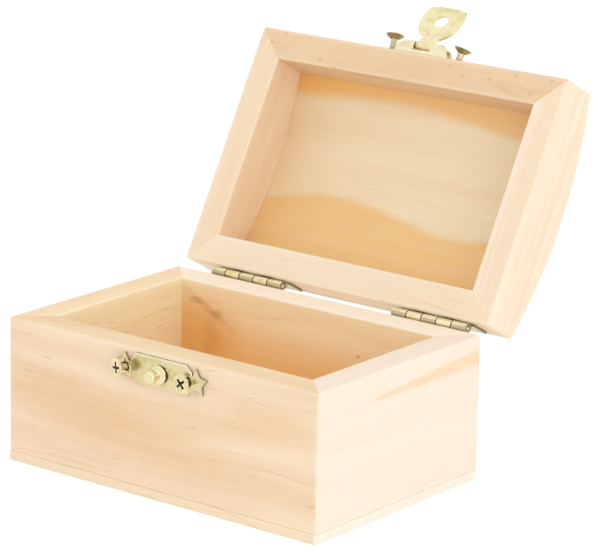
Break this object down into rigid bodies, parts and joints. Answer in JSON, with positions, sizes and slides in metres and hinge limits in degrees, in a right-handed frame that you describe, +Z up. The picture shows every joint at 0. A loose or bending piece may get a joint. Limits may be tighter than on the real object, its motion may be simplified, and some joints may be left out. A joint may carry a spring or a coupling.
{
  "type": "hinged money box",
  "caption": "Small unfinished pine money box shaped like a chest: mitred walls, arched lid on brass butt hinges, brass hasp catch with star-ended plates. Lid open.",
  "frame": {"origin": "under the middle of the base, on the face it rests on", "axes": "+X to the right along the width and along both hinge barrels, +Y towards the back where the hinges are, +Z up; the front with the keeper faces -Y"},
  "size_m": [0.11, 0.1374, 0.1196],
  "materials": {
    "pine_board": "planed, unfinished, satin-dry",
    "pine_sheet": "sanded thin sheet, unfinished",
    "brass_plate": "pressed sheet, pale, semi-bright, fine scratches",
    "brass_turned": "plated screws, pins and stud, semi-bright"
  },
  "bodies": {
    "base": {"base_front_wall": "pine_board", "base_back_wall": "pine_board", "base_left_wall": "pine_board", "base_right_wall": "pine_board", "base_bottom_panel": "pine_sheet", "left_hinge_base_leaf": "brass_plate", "left_hinge_pin": "brass_turned", "left_hinge_base_screw_1": "brass_turned", "left_hinge_base_screw_2": "brass_turned", "right_hinge_base_leaf": "brass_plate", "right_hinge_pin": "brass_turned", "right_hinge_base_screw_1": "brass_turned", "right_hinge_base_screw_2": "brass_turned", "keeper_plate": "brass_plate", "keeper_stud": "brass_turned", "keeper_screw_left": "brass_turned", "keeper_screw_right": "brass_turned"},
    "lid": {"lid_front_rail": "pine_board", "lid_back_rail": "pine_board", "lid_left_end": "pine_board", "lid_right_end": "pine_board", "lid_top_panel": "pine_sheet", "left_hinge_lid_leaf": "brass_plate", "left_hinge_lid_screw_1": "brass_turned", "left_hinge_lid_screw_2": "brass_turned", "right_hinge_lid_leaf": "brass_plate", "right_hinge_lid_screw_1": "brass_turned", "right_hinge_lid_screw_2": "brass_turned", "catch_plate": "brass_plate", "catch_pin": "brass_turned", "catch_screw_left": "brass_turned", "catch_screw_right": "brass_turned"},
    "hasp": {"hasp": "brass_plate"}
  },
  "joints": [
    {"name": "lid_hinge", "type": "hinge", "parent": "base", "child": "lid", "pos_m": [0, 0.039, 0.0424], "axis": [1, 0, 0], "range_deg": [0, 118.9]},
    {"name": "hasp_pivot", "type": "hinge", "parent": "lid", "child": "hasp", "pos_m": [0.0013, 0.08095, 0.10971], "axis": [1, 0, 0], "range_deg": [-65, 112]}
  ]
}
